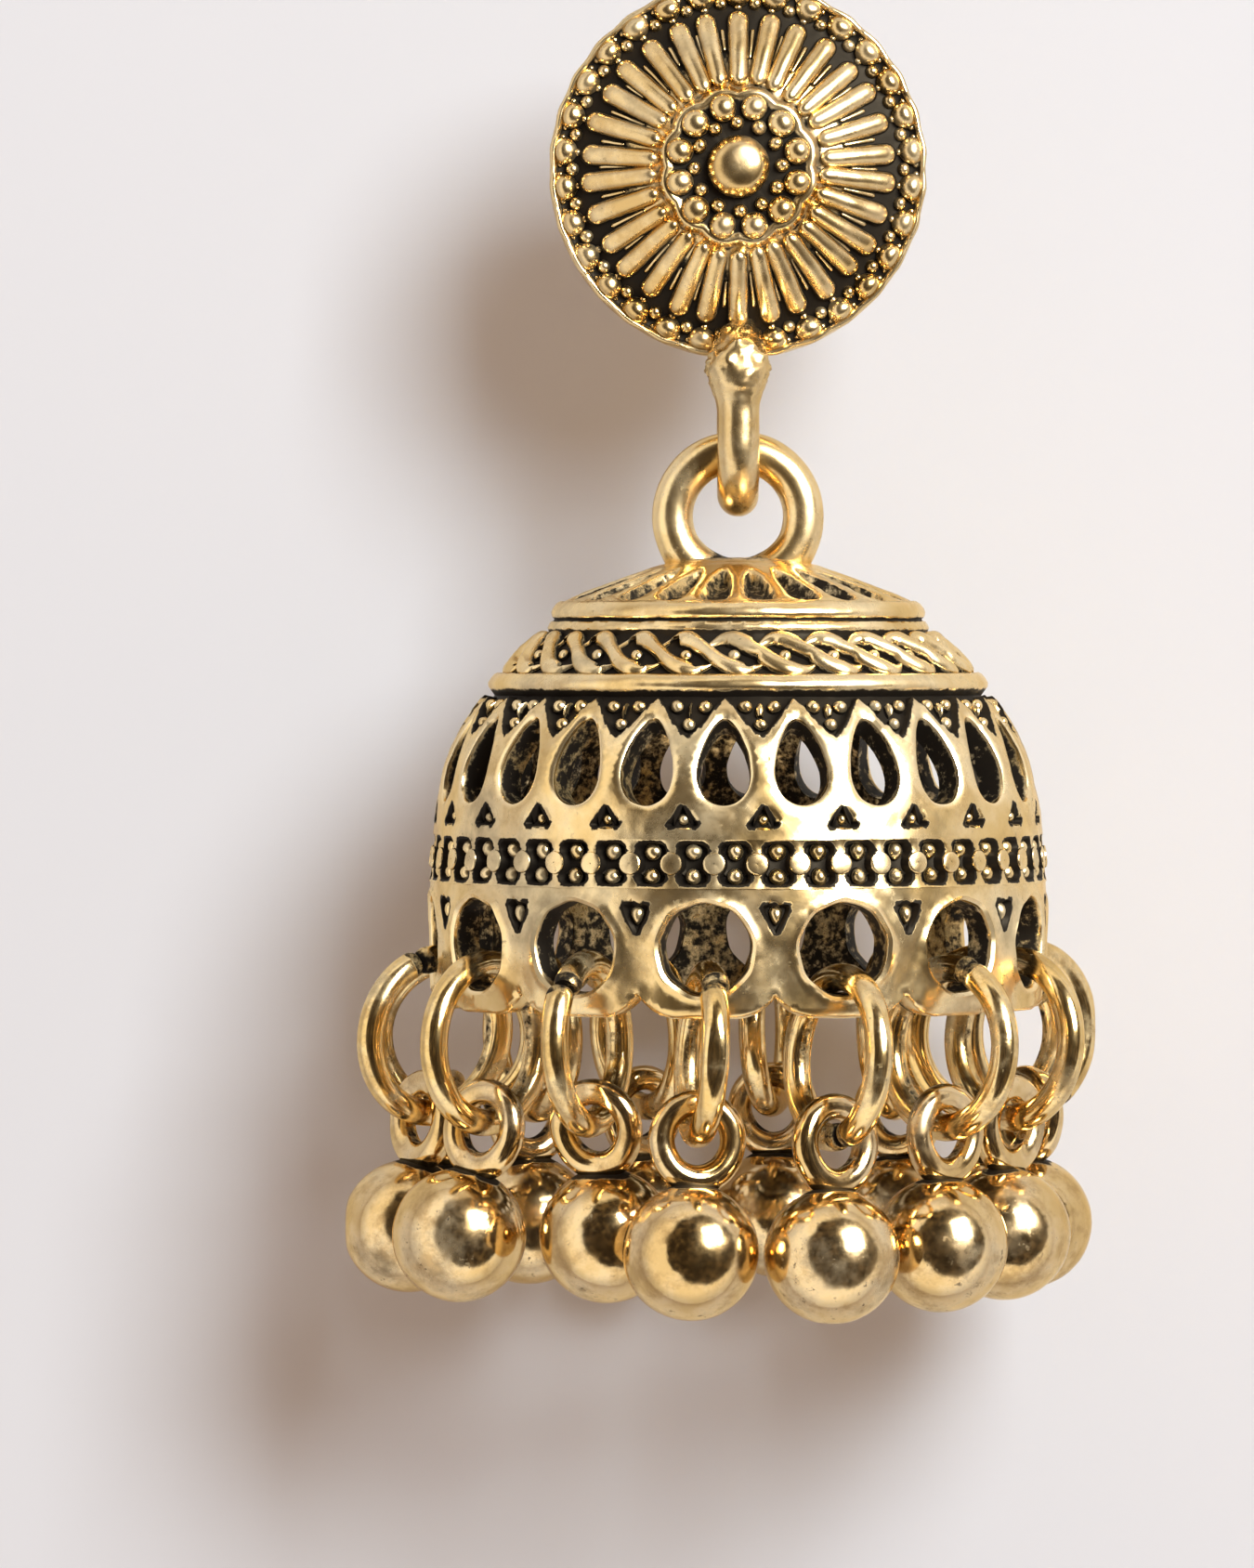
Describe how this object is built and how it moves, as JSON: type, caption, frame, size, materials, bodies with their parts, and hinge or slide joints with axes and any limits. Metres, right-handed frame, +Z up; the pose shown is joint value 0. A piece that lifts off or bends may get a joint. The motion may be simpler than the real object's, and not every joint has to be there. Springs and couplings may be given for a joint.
{
  "type": "bell drop earring",
  "caption": "Drop earring: a flower-patterned disc stud with a loop, a pierced domed bell on a bail ring, and jump rings round its mouth that each hold a ball.",
  "frame": {"origin": "on the ear post's axis, where the post leaves the flat back of the disc", "axes": "+Z up towards the top of the disc, +Y along the post towards its free end, so the flower faces -Y; +X to the viewer's right"},
  "size_m": [0.0271, 0.0276, 0.0475],
  "materials": {
    "disc_gold": "antiqued cast gold tone, dark in the recesses",
    "bell_gold": "antiqued cast gold tone, dark in the recesses",
    "ring_gold": "smooth antiqued gold-tone wire",
    "ball_gold": "polished antiqued gold tone"
  },
  "bodies": {
    "stud": {"ear_stud": "disc_gold"},
    "drop": {"bell": "bell_gold", "jump_ring_01": "ring_gold", "jump_ring_02": "ring_gold", "jump_ring_03": "ring_gold", "jump_ring_04": "ring_gold", "jump_ring_05": "ring_gold", "jump_ring_06": "ring_gold", "jump_ring_07": "ring_gold", "jump_ring_08": "ring_gold", "jump_ring_09": "ring_gold", "jump_ring_10": "ring_gold", "jump_ring_11": "ring_gold", "jump_ring_12": "ring_gold", "jump_ring_13": "ring_gold", "jump_ring_14": "ring_gold", "ball_drop_01": "ball_gold", "ball_drop_02": "ball_gold", "ball_drop_03": "ball_gold", "ball_drop_04": "ball_gold", "ball_drop_05": "ball_gold", "ball_drop_06": "ball_gold", "ball_drop_07": "ball_gold", "ball_drop_08": "ball_gold", "ball_drop_09": "ball_gold", "ball_drop_10": "ball_gold", "ball_drop_11": "ball_gold", "ball_drop_12": "ball_gold", "ball_drop_13": "ball_gold", "ball_drop_14": "ball_gold"}
  },
  "joints": [
    {"name": "bell_swing", "type": "hinge", "parent": "stud", "child": "drop", "pos_m": [0, -0.0012, -0.01171], "axis": [0, 1, 0], "range_deg": [-75, 75]}
  ]
}
